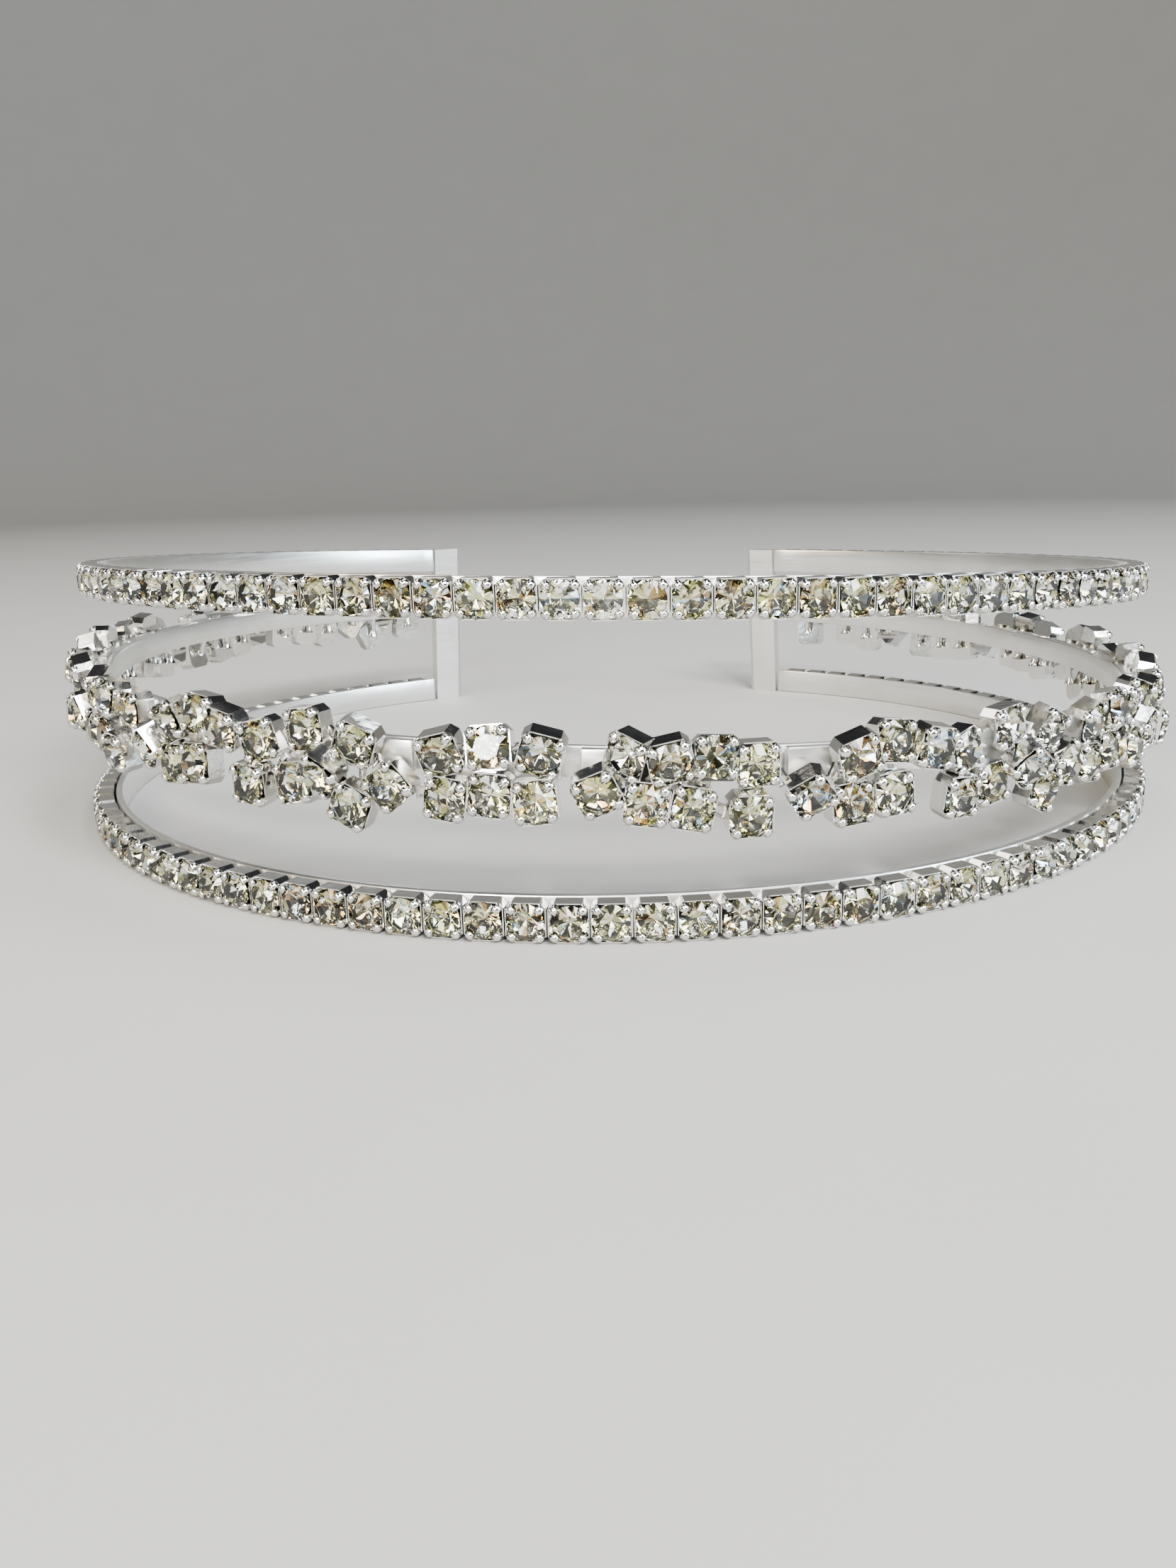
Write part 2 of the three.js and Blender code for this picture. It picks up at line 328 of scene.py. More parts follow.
def painted_floor():
    """Matt emulsion on board: pale and even, with a faint mottle from the roller."""
    material, tree, shader = new_material("Matt painted board")
    place = add_node(tree, "ShaderNodeTexCoord").outputs["Object"]
    mottle = add_node(tree, "ShaderNodeTexNoise",
                      inputs={"Scale": ROLLER_MOTTLE / MM, "Detail": 4.0}, Vector=place)
    ramp = add_node(tree, "ShaderNodeValToRGB", Fac=mottle.outputs["Fac"])
    pale = hex_colour(colours().floor)
    set_ramp(ramp.color_ramp, [(0.3, tuple(c * 0.97 for c in pale[:3]) + (1,)), (0.7, pale)])
    tree.links.new(ramp.outputs["Color"], shader.inputs["Base Color"])
    shader.inputs["Roughness"].default_value = 0.7
    return material


# ---- Where things are on a row ----

UP = Vector((0, 0, 1))


class RowPath:
    """The outer face of one band: an ellipse, measured by the distance along it."""

    STEPS = 1440

    def __init__(self, name):
        for column, value in zip(ROW_COLUMNS, ROWS[name]):
            setattr(self, column, value)
        self.half_arc = self.cups * CUP_PITCH / 2
        # A whole turn, from the back of the ellipse round past its front to the back again.
        self.angles = [math.pi * (-1.5 + 2 * step / self.STEPS) for step in range(self.STEPS + 1)]
        self.lengths = [0.0]
        for first, second in itertools.pairwise(self.angles):
            chord = math.hypot(HALF_WIDTH * (math.cos(second) - math.cos(first)),
                               self.half_depth * (math.sin(second) - math.sin(first)))
            self.lengths.append(self.lengths[-1] + chord)

    def angle_at(self, along):
        """The ellipse's own angle at a distance along the band from its front."""
        wanted = self.lengths[-1] / 2 + along
        step = min(max(bisect.bisect(self.lengths, wanted), 1), self.STEPS)
        share = (wanted - self.lengths[step - 1]) / (self.lengths[step] - self.lengths[step - 1])
        return self.angles[step - 1] + share * (self.angles[step] - self.angles[step - 1])

    def height_at(self, x, y):
        return self.height + self.rise_x * x + self.rise_y * y

    def frame_at(self, along):
        """The band's face there as a matrix: X on along it, Y up, Z outwards."""
        angle = self.angle_at(along)
        x = HALF_WIDTH * math.cos(angle)
        y = self.middle_y + self.half_depth * math.sin(angle)
        ahead = Vector((-HALF_WIDTH * math.sin(angle), self.half_depth * math.cos(angle), 0))
        ahead.normalize()
        outward = ahead.cross(UP)
        turned = Matrix((ahead, UP, outward)).transposed().to_4x4()
        return Matrix.Translation((x, y, self.height_at(x, y))) @ turned


def to_frame(mesh):
    """Brings a mesh in the row's millimetres into the frame, in metres."""
    mesh.transform(Matrix.Scale(MM, 4) @ Matrix.Translation((0, CENTRE_Y, 0)))


# ---- Modelling by hand ----

FACING = 0.9              # a face looks along an axis if this much of its normal does


def deselect():
    bpy.ops.object.select_all(action="DESELECT")


def choose(*pieces):
    """Selects these pieces alone and makes the first the active one."""
    deselect()
    for piece in pieces:
        piece.select_set(True)
    bpy.context.view_layer.objects.active = pieces[0]


def edit(piece):
    """Opens one piece for editing, with nothing picked."""
    choose(piece)
    bpy.ops.object.mode_set(mode="EDIT")
    bpy.ops.mesh.select_all(action="DESELECT")


def close_edit():
    bpy.ops.object.mode_set(mode="OBJECT")


def pick(piece, kind, wanted):
    """In edit mode, picks the faces or edges of which wanted() is true."""
    bpy.ops.mesh.select_mode(type={"faces": "FACE", "edges": "EDGE"}[kind])
    mesh = bmesh.from_edit_mesh(piece.data)
    mesh.normal_update()
    chosen = [element for element in getattr(mesh, kind) if wanted(element)]
    bpy.ops.mesh.select_all(action="DESELECT")
    for element in chosen:
        element.select_set(True)
    mesh.select_flush_mode()
    bmesh.update_edit_mesh(piece.data)


def picked_middle(piece):
    """The middle of the picked corners."""
    spots = [vert.co for vert in bmesh.from_edit_mesh(piece.data).verts if vert.select]
    return sum(spots, Vector()) / len(spots)


def draw_out(*way):
    """Extrudes what is picked, this far along X, Y and Z."""
    bpy.ops.mesh.extrude_region_move(TRANSFORM_OT_translate={"value": way})


def fix_place():
    """Puts a new primitive's place, turn and size in its mesh."""
    bpy.ops.object.transform_apply(location=True, rotation=True, scale=True)


def smooth_within(piece, degrees):
    choose(piece)
    bpy.ops.object.shade_smooth_by_angle(angle=math.radians(degrees))


def join(pieces):
    """Joins pieces into the first of them."""
    choose(*pieces)
    bpy.ops.object.join()
    return pieces[0]


def take_mesh(piece, name):
    """Keeps a pattern piece's mesh and removes its object."""
    mesh = piece.data
    mesh.name = name
    bpy.data.objects.remove(piece)
    return mesh


def place_copies(pattern, places):
    """Copies a pattern's mesh to each place, a matrix in row millimetres, and joins the copies."""
    copies = []
    for place in places:
        mesh = pattern.copy()
        mesh.transform(place)
        copies.append(bpy.data.objects.new(pattern.name, mesh))
        bpy.context.scene.collection.objects.link(copies[-1])
    return join(copies)


def finish_piece(piece, name, finish=None, replaced=()):
    """Names a finished piece, gives it its finish unless its pattern had one, brings it into the
    frame and hides the parts that it stands for."""
    piece.name = name
    piece.data.name = name
    if finish:
        piece.data.materials.append(MATERIALS[finish])
    to_frame(piece.data)
    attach(piece, "root")
    if replaced:
        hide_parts(*replaced)


def nodes_named(start):
    return sorted(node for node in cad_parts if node.startswith(start))


# ---- Bands and strips ----

STRIP_STEP = 1.0          # length of one flat of a band or strip
MERGE_DISTANCE = 0.001    # corners closer than this are one


def spin_strip(path, start, end, inner, outer):
    """A rectangle as high as the band, spun round the row from start to end between an inner and
    an outer face. Its edges are rounded, and then it is fitted to the row's ellipse and slope."""
    first, last = path.angle_at(start), path.angle_at(end)
    radius = HALF_WIDTH + (inner + outer) / 2
    deselect()
    bpy.ops.mesh.primitive_plane_add(
        size=1, location=(radius * math.cos(first), radius * math.sin(first), 0),
        rotation=(math.pi / 2, 0, first))
    piece = bpy.context.object
    piece.scale = (outer - inner, path.band, 1)
    fix_place()
    edit(piece)
    bpy.ops.mesh.select_all(action="SELECT")
    bpy.ops.mesh.spin(steps=max(2, round((end - start) / STRIP_STEP)), angle=last - first,
                      center=(0, 0, 0), axis=(0, 0, -1))
    bpy.ops.mesh.select_all(action="SELECT")
    bpy.ops.mesh.remove_doubles(threshold=MERGE_DISTANCE)
    bpy.ops.mesh.normals_make_consistent(inside=False)
    close_edit()
    round_edges(piece)
    fit = Matrix((
        (1, 0, 0, 0),
        (0, path.half_depth / HALF_WIDTH, 0, path.middle_y),
        (0, 0, 1, 0),
        (0, 0, 0, 1),
    ))
    slope = Matrix((
        (1, 0, 0, 0),
        (0, 1, 0, 0),
        (path.rise_x, path.rise_y, 1, path.height),
        (0, 0, 0, 1),
    ))
    piece.data.transform(slope @ fit)
    smooth_within(piece, 40)
    return piece


def round_edges(piece):
    """Rounds a strip's four long edges and its ends with a bevel, which is applied."""
    choose(piece)
    bevel = piece.modifiers.new("Rolled edges", "BEVEL")
    bevel.width = sizes().band_edge
    bevel.segments = 2
    bevel.limit_method = "ANGLE"
    bevel.angle_limit = math.radians(50)
    bpy.ops.object.modifier_apply(modifier=bevel.name)


# ---- Cups ----

CORNER_CUT = 0.3          # how far from each corner the square is cut off
CUP_SEAT = 0.64           # step inside for the crystal to sit in, above the cup's back
SEAT_WIDTH = 0.26
CUP_FLOOR = 0.13          # thickness of the metal at the back
CUP_TAPER = 0.985         # width of the back against the mouth

# A claw starts as a flat hexagon sunk in a corner's wall, and is drawn out in these steps: up,
# inwards, leaning further in each time, and growing or shrinking in thickness and in width.
CLAW_START = {"reach": 1.09, "height": 0.78, "thickness": 0.13, "width": 0.42}
CLAW_COLUMNS = ("up", "inward", "lean", "thickness", "width")
CLAW_STEPS = (
    (0.2, 0.03, 20, 1.25, 1.05),
    (0.12, 0.13, 45, 1.35, 1.0),
    (-0.01, 0.2, 35, 0.8, 0.72),
)


def model_claw():
    """One claw, drawn up from the corner on the X axis and folded over the crystal."""
    deselect()
    bpy.ops.mesh.primitive_circle_add(vertices=6, radius=0.5, fill_type="NGON")
    piece = bpy.context.object
    piece.scale = (CLAW_START["thickness"], CLAW_START["width"], 1)
    piece.location = (CLAW_START["reach"], 0, CLAW_START["height"])
    fix_place()
    edit(piece)
    bpy.ops.mesh.select_all(action="SELECT")
    for line in CLAW_STEPS:
        step = dict(zip(CLAW_COLUMNS, line))
        draw_out(-step["inward"], 0, step["up"])
        middle = picked_middle(piece)
        bpy.ops.transform.rotate(value=math.radians(step["lean"]), orient_axis="Y",
                                 center_override=middle)
        bpy.ops.transform.resize(value=(step["thickness"], step["width"], step["thickness"]),
                                 center_override=middle)
    close_edit()
    smooth_within(piece, 180)
    return take_mesh(piece, "claw")


def model_cup():
    """One stamped cup: a square box with cut corners, open in front, with a seat inside for the
    crystal and a claw on each corner."""
    size = sizes()
    width, depth = size.cup_width, size.cup_depth
    deselect()
    bpy.ops.mesh.primitive_cube_add(size=1, location=(0, 0, depth / 2),
                                    scale=(width, width, depth))
    piece = bpy.context.object
    fix_place()
    edit(piece)
    pick(piece, "edges", lambda e: abs(e.verts[0].co.z - e.verts[1].co.z) > depth / 2)
    bpy.ops.mesh.bevel(offset=CORNER_CUT, segments=1, affect="EDGES")
    pick(piece, "faces", lambda f: f.normal.z < -FACING)
    bpy.ops.transform.resize(value=(CUP_TAPER, CUP_TAPER, 1), center_override=(0, 0, 0))
    pick(piece, "faces", lambda f: f.normal.z > FACING)
    bpy.ops.mesh.inset(thickness=size.cup_wall, depth=0)
    draw_out(0, 0, CUP_SEAT - depth)
    bpy.ops.mesh.inset(thickness=SEAT_WIDTH, depth=0)
    draw_out(0, 0, CUP_FLOOR - CUP_SEAT)
    close_edit()
    smooth_within(piece, 30)
    corners = [Matrix.Rotation(math.radians(turn), 4, "Z") for turn in (45, 135, 225, 315)]
    claws = place_copies(model_claw(), corners)
    return take_mesh(join((piece, claws)), "cup")


# ---- Crystals ----

CROWN_SIDES = 8
POINT_SIDES = 3
TABLE_RADIUS = 0.6        # of the table, as a share of the crystal's
BREAK_RADIUS = 0.84       # of the ring where the back changes slope, as a share
BREAK_DEPTH = 0.22        # how far down the back that ring is, as a share
POINT_RADIUS = 0.02       # of the blunt point of the back, as a share
FACET_FLATNESS = 0.5      # degrees between two faces of the hull that are one facet
CRYSTAL_TIP = 3           # degrees that a crystal may lie askew in its cup, each way

# What each row's crystals are turned, tipped and tinted from.
ROW_SEEDS = {"bottom": 0, "top": 1, "middle": 7}

# The foil's tones. White is the silver's own colour. The champagne, khaki, brown and dark tones are
# painted reflections, and the blue and amber ones are painted dispersion glints.
FOIL_AND_GLINT_TONES = (
    # share of the facets, sRGB hex
    (0.42, "#FCFCF6"),
    (0.14, "#E6E5D4"),
    (0.17, "#F0EEB8"),
    (0.12, "#C4C298"),
    (0.06, "#A88E68"),
    (0.03, "#74705C"),
    (0.04, "#C8E0FC"),
    (0.02, "#F8D67C"),
)


def model_crystal():
    """One chaton: a table, facets down to the girdle and a back in two slopes to a blunt point,
    as the hull of four rings of corners. The first material is the polished front, the second
    the foiled back."""
    size = sizes()
    radius, girdle = size.crystal_width / 2, size.girdle_height
    back = girdle - (girdle - size.crystal_back) * BREAK_DEPTH
    half_side = math.pi / CROWN_SIDES
    rings = (
        # corners, radius, height, turn
        (CROWN_SIDES, radius * TABLE_RADIUS, size.table_height, half_side),
        (2 * CROWN_SIDES, radius, girdle, 0.0),
        (CROWN_SIDES, radius * BREAK_RADIUS, back, half_side),
        (POINT_SIDES, radius * POINT_RADIUS, size.crystal_back, 0.0),
    )
    deselect()
    piece = None
    for corners, ring_radius, height, turn in rings:
        bpy.ops.mesh.primitive_circle_add(vertices=corners, radius=ring_radius,
                                          location=(0, 0, height), rotation=(0, 0, turn))
        if piece is None:
            # The other rings are added to the first one's mesh.
            piece = bpy.context.object
            bpy.ops.object.mode_set(mode="EDIT")
    bpy.ops.mesh.select_all(action="SELECT")
    bpy.ops.mesh.convex_hull()
    bpy.ops.mesh.select_all(action="SELECT")
    bpy.ops.mesh.dissolve_limited(angle_limit=math.radians(FACET_FLATNESS))
    bpy.ops.mesh.normals_make_consistent(inside=False)
    close_edit()
    fix_place()
    piece.data.materials.append(MATERIALS["crystal"])
    piece.data.materials.append(MATERIALS["foil"])
    for face in piece.data.polygons:
        face.material_index = int(face.center.z < girdle)
    return take_mesh(piece, "crystal")


def tint_facets_and_glints(mesh, draw):
    """Gives each facet one of the foil's tones, which only the foil shows: white silver, painted
    reflection tones, and blue and amber painted dispersion glints.
    """
    tones = [hex_colour(code) for _, code in FOIL_AND_GLINT_TONES]
    shares = [share for share, _ in FOIL_AND_GLINT_TONES]
    layer = mesh.color_attributes.new("facet_tone", "FLOAT_COLOR", "CORNER")
    # Each facet gets white silver or a painted reflection or glint tone.
    for face in mesh.polygons:
        tone = draw.choices(tones, shares)[0]
        for corner in face.loop_indices:
            layer.data[corner].color = tone


def place_crystals(pattern, places, seed):
    """Puts a crystal in each cup, turned at random about its own axis, tipped, and tinted with the
    foil's tones and painted glints.
    """
    draw = random.Random(seed)
    seated = []
    for place in places:
        turn = Matrix.Rotation(draw.uniform(0, math.tau), 4, "Z")
        tip = Euler((math.radians(draw.uniform(-CRYSTAL_TIP, CRYSTAL_TIP)),
                     math.radians(draw.uniform(-CRYSTAL_TIP, CRYSTAL_TIP)), 0))
        seated.append(place @ tip.to_matrix().to_4x4() @ turn)
    piece = place_copies(pattern, seated)
    tint_facets_and_glints(piece.data, draw)
    return piece


# ---- Stems and links ----

# A stem's outline from foot to head: the share of its length, and its radius there.
STEM_OUTLINE = ((0.0, 0.26), (0.25, 0.2), (0.7, 0.2), (0.92, 0.29), (1.0, 0.39))
STEM_SIDES = 10

# A link joins two cups of the middle row whose backs are this far apart.
LINK_NEAREST = 2.05
LINK_FURTHEST = 2.75
LINK_DEPTH = 0.4          # where it is soldered on a cup's wall, above the cup's back
LINK_HEIGHT = 0.62
LINK_THICKNESS = 0.14
LINK_WIRE = 0.13          # width of the metal beside the slot


def model_stem():
    """A soldered post of unit height: a round wire that flares into the back of its cup."""
    deselect()
    bpy.ops.mesh.primitive_circle_add(vertices=STEM_SIDES, radius=STEM_OUTLINE[0][1],
                                      fill_type="NGON")
    piece = bpy.context.object
    edit(piece)
    bpy.ops.mesh.select_all(action="SELECT")
    for (low, narrow), (high, wide) in itertools.pairwise(STEM_OUTLINE):
        draw_out(0, 0, high - low)
        growth = wide / narrow
        bpy.ops.transform.resize(value=(growth, growth, 1), center_override=picked_middle(piece))
    close_edit()
    smooth_within(piece, 60)
    return take_mesh(piece, "stem")


def model_link():
    """One link of the cup chain, of unit length: a flat strip with a slot down its middle."""
    deselect()
    bpy.ops.mesh.primitive_cube_add(size=1, location=(0, 0, 0.5),
                                    scale=(LINK_HEIGHT, LINK_THICKNESS, 1))
    piece = bpy.context.object
    fix_place()
    edit(piece)
    pick(piece, "faces", lambda f: abs(f.normal.y) > FACING)
    bpy.ops.mesh.inset(thickness=LINK_WIRE, depth=0)
    bpy.ops.mesh.bridge_edge_loops()
    close_edit()
    smooth_within(piece, 60)
    return take_mesh(piece, "link")


def bridge(start, end, side):
    """A matrix that lays a pattern of unit length along Z from start to end, its Y by side."""
    way = end - start
    across = side.cross(way).normalized()
    up = way.cross(across).normalized()
    return Matrix.Translation(start) @ Matrix((across, up, way)).transposed().to_4x4()


# ---- Rows of settings ----

SPRIG_SCALE = 1.1         # the sprigs' cups and crystals against those of the plain rows


def plain_places(path):
    """Where each cup of a plain row stands."""
    lift = Matrix.Translation((0, 0, PIECE_GAP))
    return [path.frame_at((cup + 0.5) * CUP_PITCH - path.half_arc) @ lift
            for cup in range(path.cups)]


def all_sprigs():
    """Each sprig as the list of its settings, each a dict with along measured on the row."""
    for repeat in range(SPRIG_REPEATS):
        for lines in SPRIGS:
            sprig = [dict(zip(SETTING_COLUMNS, line)) for line in lines]
            for setting in sprig:
                setting["along"] += SPRIG_START + repeat * SPRIG_REPEAT
            yield sprig


def sprig_place(path, setting):
    """Where a sprig's cup stands, with the pattern's scale."""
    turned = Euler((math.radians(-setting["lean"]), math.radians(setting["swing"]),
                    math.radians(setting["turn"])), "ZXY").to_matrix().to_4x4()
    out = PIECE_GAP + SPRIG_STANDOFF + setting["out"]
    lift = Matrix.Translation((0, setting["up"], out))
    return path.frame_at(setting["along"]) @ lift @ turned @ Matrix.Scale(SPRIG_SCALE, 4)


def stem_place(path, setting):
    """A stem's pattern stretched from the soldered strip to the back of its cup. The more it
    slants to the cup, the further its head stays behind, so that the flare ends in the floor."""
    level = min(max(setting["up"], -FOOT_REACH), FOOT_REACH)
    face = path.frame_at(setting["along"])
    foot = face @ Vector((0, level, PIECE_GAP + BACKING_DEPTH / 2))
    cup = sprig_place(path, setting)
    axis = (cup.to_3x3() @ Vector((0, 0, 1))).normalized()
    slant = axis.cross((cup.translation - foot).normalized()).length
    back = CUP_FLOOR / 2 * SPRIG_SCALE - STEM_OUTLINE[-1][1] * slant
    head = cup.translation + axis * back
    return bridge(foot, head, face.to_3x3() @ Vector((0, 1, 0)))


def on_wall(toward):
    """The point of a cup's wall that lies toward a place: on a side, or on a cut corner."""
    width = sizes().cup_width
    along, up = abs(toward.x), abs(toward.y)
    share = min(width / 2 / max(along, up), (width - CORNER_CUT) / (along + up))
    return Vector((toward.x * share, toward.y * share, LINK_DEPTH))


def leaves(cup, start, end):
    """Whether a link from a cup's wall to its other end goes clear of the cup."""
    back = cup.inverted()
    wall = (back @ start).xy
    way = back.to_3x3() @ (end - start)
    return way.xy.dot(wall) > 0


def link_places(path, sprigs):
    """The links of the cup chain, from each cup to those that stand next to it, without those
    that would point back into a cup."""
    cups = [sprig_place(path, setting) for sprig in sprigs for setting in sprig]
    places = []
    for first, second in itertools.combinations(cups, 2):
        apart = (second.translation - first.translation).length
        if LINK_NEAREST < apart < LINK_FURTHEST:
            ends = [near @ on_wall(near.inverted() @ far.translation)
                    for near, far in ((first, second), (second, first))]
            if leaves(first, *ends) and leaves(second, *reversed(ends)):
                side = (first.to_3x3() + second.to_3x3()) @ Vector((0, 0, 1))
                places.append(bridge(*ends, side))
    return places


def solder_strips(path, sprigs):
    """The strips behind the sprigs, each as long as its settings and half a band more."""
    half = path.band / 2
    strips = []
    for sprig in sprigs:
        alongs = [setting["along"] for setting in sprig]
        strips.append(spin_strip(path, min(alongs) - half, max(alongs) + half,
                                 PIECE_GAP, PIECE_GAP + BACKING_DEPTH))
    return join(strips)


# ---- Operators ----

class CUFF_OT_finishes(bpy.types.Operator):
    """Make the metal and crystal finishes"""
    bl_idname = "cuff.finishes"
    bl_label = "Make finishes"

    def execute(self, context):
        MATERIALS["satin"] = satin_plate()
        MATERIALS["bright"] = bright_plate()
        MATERIALS["crystal"] = cut_crystal()
        MATERIALS["foil"] = silver_foil()
        return {"FINISHED"}


class CUFF_OT_bands(bpy.types.Operator):
    """Roll the three open bands and finish the bars that close their ends"""
    bl_idname = "cuff.bands"
    bl_label = "Bands and end bars"

    def execute(self, context):
        for name in ROWS:
            path = RowPath(name)
            end = path.half_arc + ROUND_MARGIN
            piece = spin_strip(path, -end, end, -BAND_THICKNESS, 0.0)
            finish_piece(piece, f"{name}_rolled_band", "satin", [f"{name}_band"])
        for side in ("left", "right"):
            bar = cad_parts[f"{side}_end_bar"]
            bar.data.materials.clear()
            bar.data.materials.append(MATERIALS["satin"])
        return {"FINISHED"}


class CUFF_OT_plain_rows(bpy.types.Operator):
    """Set the two straight rows of cup chain with their crystals"""
    bl_idname = "cuff.plain_rows"
    bl_label = "Straight rows"

    def execute(self, context):
        cup, crystal = model_cup(), model_crystal()
        for name in ("bottom", "top"):
            places = plain_places(RowPath(name))
            finish_piece(place_copies(cup, places), f"{name}_cups", "bright",
                         nodes_named(f"{name}_settings"))
            finish_piece(place_crystals(crystal, places, ROW_SEEDS[name]), f"{name}_crystals")
        return {"FINISHED"}


class CUFF_OT_sprigs(bpy.types.Operator):
    """Set the scattered middle row: turned cups on stems, links and strips, with their crystals"""
    bl_idname = "cuff.sprigs"
    bl_label = "Scattered row"

    def execute(self, context):
        path = RowPath("middle")
        sprigs = list(all_sprigs())
        settings = [setting for sprig in sprigs for setting in sprig]
        places = [sprig_place(path, setting) for setting in settings]
        stems = [stem_place(path, setting) for setting in settings]
        finish_piece(place_copies(model_cup(), places), "middle_cups", "bright",
                     nodes_named("middle_sprig"))
        finish_piece(place_crystals(model_crystal(), places, ROW_SEEDS["middle"]),
                     "middle_crystals")
        finish_piece(place_copies(model_stem(), stems), "middle_stems", "bright")
        finish_piece(place_copies(model_link(), link_places(path, sprigs)), "middle_links",
                     "bright")
        finish_piece(solder_strips(path, sprigs), "middle_strips", "satin")
        return {"FINISHED"}


class CUFF_OT_stage(bpy.types.Operator):
    """Lay the pale floor and set the lights and the camera"""
    bl_idname = "cuff.stage"
    bl_label = "Stage"

    def execute(self, context):
        lay_floor()
        light_studio()
        light_world()
        set_camera()
        return {"FINISHED"}


# ---- Stage ----

# The dish that the cuff stands in, in metres: how far away its wall is, how high, how round its
# foot is, and how far its floor lies below the cuff.
DISH_RADIUS = 0.75
DISH_HEIGHT = 0.31
DISH_FOOT = 0.3
DISH_DROP = 0.00002
DISH_SIDES = 128
DISH_FOOT_STEPS = 16

LIGHTS = (
    # name, azimuth and height in degrees seen from the cuff, metres away, width in metres,
    # radiance, colour
    ("key", 35, 46, 0.42, 0.20, 50.0, "#FFFFFF"),
    ("fill", -50, 35, 0.45, 0.18, 21.0, "#FFEAC4"),
    ("front", -6, 30, 0.55, 0.18, 17.0, "#FFFFFF"),
    ("top", 5, 84, 0.45, 0.20, 4.0, "#F4F8FF"),
    ("back", 150, 64, 0.45, 0.16, 16.0, "#F2F7FF"),
    ("side", -115, 40, 0.45, 0.22, 6.0, "#FFF8EC"),
    ("right", 78, 30, 0.45, 0.16, 20.0, "#DCF0FF"),
    ("low right", 64, 14, 0.42, 0.12, 50.0, "#DCF0FF"),
    ("low left", -22, 16, 0.40, 0.09, 80.0, "#FFFFFF"),
    ("spot", 12, 40, 0.45, 0.07, 260.0, "#FFFFFF"),
)

# The camera stands close before the cuff and a little above it. It is tipped down by its pitch
# and turned about its own axis by its roll, both in degrees.
CAMERA_PLACE = (-1.88, -88.70 + CENTRE_Y, 21.41)
CAMERA_PITCH = 14.417
CAMERA_ROLL = -1.436
CAMERA_LENS = 29.776


def lay_floor():
    """A round board whose edge sweeps up all the way round into a low backdrop."""
    deselect()
    bpy.ops.mesh.primitive_circle_add(vertices=DISH_SIDES, radius=DISH_RADIUS, fill_type="NGON",
                                      location=(0, 0, cad_box[0].z - DISH_DROP))
    floor = bpy.context.object
    floor.name = "studio_floor"
    fix_place()
    edit(floor)
    pick(floor, "edges", lambda e: True)
    bpy.ops.mesh.extrude_edges_move(TRANSFORM_OT_translate={"value": (0, 0, DISH_HEIGHT)})
    pick(floor, "edges", lambda e: max(v.co.z for v in e.verts) < DISH_HEIGHT / 2)
    bpy.ops.mesh.bevel(offset=DISH_FOOT, segments=DISH_FOOT_STEPS, affect="EDGES")
    close_edit()
    smooth_within(floor, 60)
    floor.data.materials.append(painted_floor())


def light_studio():
    """Round lamps that face the middle of the cuff."""
    centre = (cad_box[0] + cad_box[1]) / 2
    for name, azimuth, height, away, width, radiance, colour in LIGHTS:
        turn, rise = math.radians(azimuth), math.radians(height)
        way = Vector((math.sin(turn) * math.cos(rise), -math.cos(turn) * math.cos(rise),
                      math.sin(rise)))
        lamp = bpy.data.lights.new(name, "AREA")
        lamp.shape = "DISK"
        lamp.size = width
        # The power with which a disc of this width has this radiance.
        lamp.energy = radiance * (math.pi * width / 2) ** 2
        lamp.color = hex_colour(colour)[:3]
        light = bpy.data.objects.new(name, lamp)
        bpy.context.scene.collection.objects.link(light)
        light.location = centre + way * away
        light.rotation_euler = (-way).to_track_quat("-Z", "Y").to_euler()


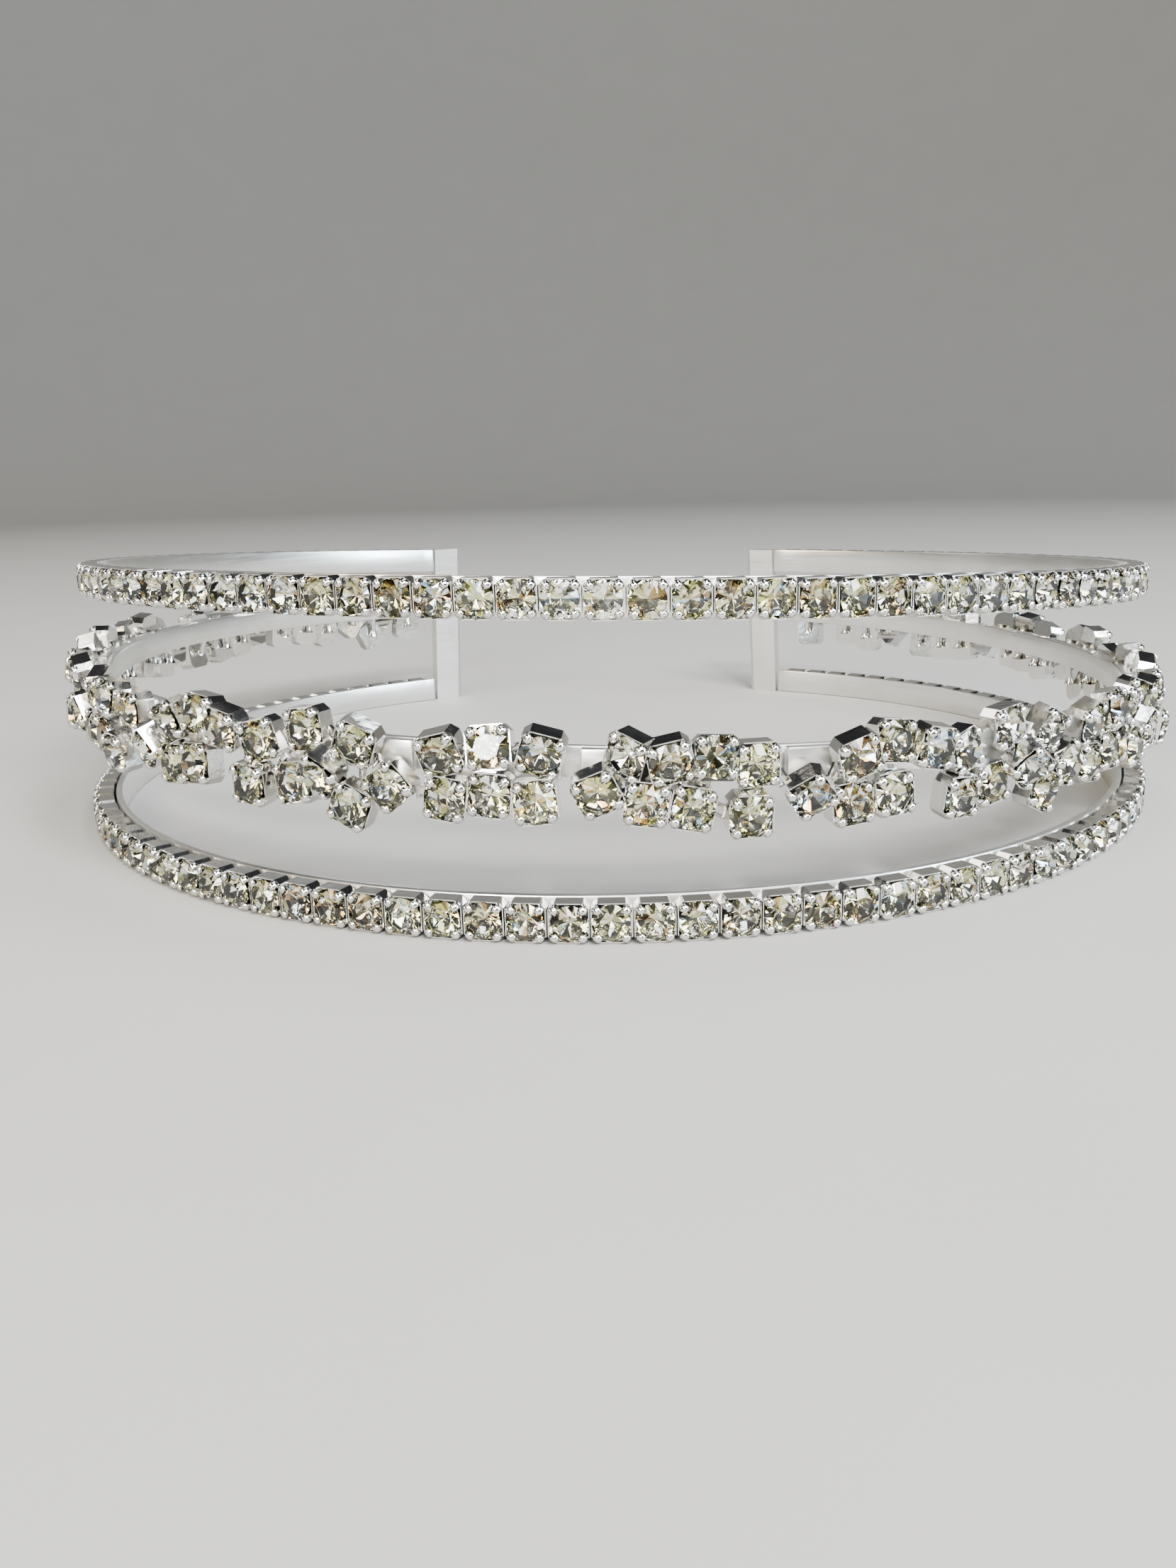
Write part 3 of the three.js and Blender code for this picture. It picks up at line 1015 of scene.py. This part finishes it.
def light_world():
    """A dim grey room, paler toward the horizon."""
    world = bpy.data.worlds.new("Studio")
    bpy.context.scene.world = world
    world.use_nodes = True
    tree = world.node_tree
    tree.nodes.clear()
    way = add_node(tree, "ShaderNodeTexCoord").outputs["Generated"]
    split = add_node(tree, "ShaderNodeSeparateXYZ", Vector=way)
    ramp = add_node(tree, "ShaderNodeValToRGB", Fac=split.outputs["Z"])
    set_ramp(ramp.color_ramp, [
        (0.0, hex_colour("#9A9A99")),
        (0.25, hex_colour("#6C6D70")),
        (0.5, hex_colour("#2C2D30")),
    ])
    light = add_node(tree, "ShaderNodeBackground", inputs={"Strength": 1.0},
                     Color=ramp.outputs["Color"])
    add_node(tree, "ShaderNodeOutputWorld", Surface=light.outputs["Background"])


def set_camera():
    lens = bpy.data.cameras.new("camera")
    lens.lens = CAMERA_LENS
    lens.clip_start = 0.002
    lens.clip_end = 20.0
    camera = bpy.data.objects.new("camera", lens)
    bpy.context.scene.collection.objects.link(camera)
    tip = Matrix.Rotation(math.radians(90 - CAMERA_PITCH), 4, "X")
    roll = Matrix.Rotation(math.radians(CAMERA_ROLL), 4, "Z")
    camera.matrix_world = Matrix.Translation(Vector(CAMERA_PLACE) * MM) @ tip @ roll
    bpy.context.scene.camera = camera


# ---- Add-on ----

class CUFF_PT_panel(bpy.types.Panel):
    """Lists the cuff's sizes and colours and the steps that make it"""
    bl_label = "Crystal cuff"
    bl_idname = "CUFF_PT_panel"
    bl_space_type = "VIEW_3D"
    bl_region_type = "UI"
    bl_category = "Cuff"

    def draw(self, context):
        for group in (sizes(), colours()):
            for name in group.bl_rna.properties.keys():
                if name not in ("rna_type", "name"):
                    self.layout.prop(group, name)
        for operator in OPERATORS:
            self.layout.operator(operator.bl_idname)


OPERATORS = (CUFF_OT_finishes, CUFF_OT_bands, CUFF_OT_plain_rows, CUFF_OT_sprigs, CUFF_OT_stage)
CLASSES = (CuffSizes, CuffColours, *OPERATORS, CUFF_PT_panel)


def register():
    for kind in CLASSES:
        bpy.utils.register_class(kind)
    bpy.types.Scene.cuff_sizes = bpy.props.PointerProperty(type=CuffSizes)
    bpy.types.Scene.cuff_colours = bpy.props.PointerProperty(type=CuffColours)


def unregister():
    del bpy.types.Scene.cuff_sizes
    del bpy.types.Scene.cuff_colours
    for kind in reversed(CLASSES):
        bpy.utils.unregister_class(kind)


def main():
    register()
    bpy.ops.cuff.finishes()
    bpy.ops.cuff.bands()
    bpy.ops.cuff.plain_rows()
    bpy.ops.cuff.sprigs()
    bpy.ops.cuff.stage()


if __name__ == "__main__":
    main()
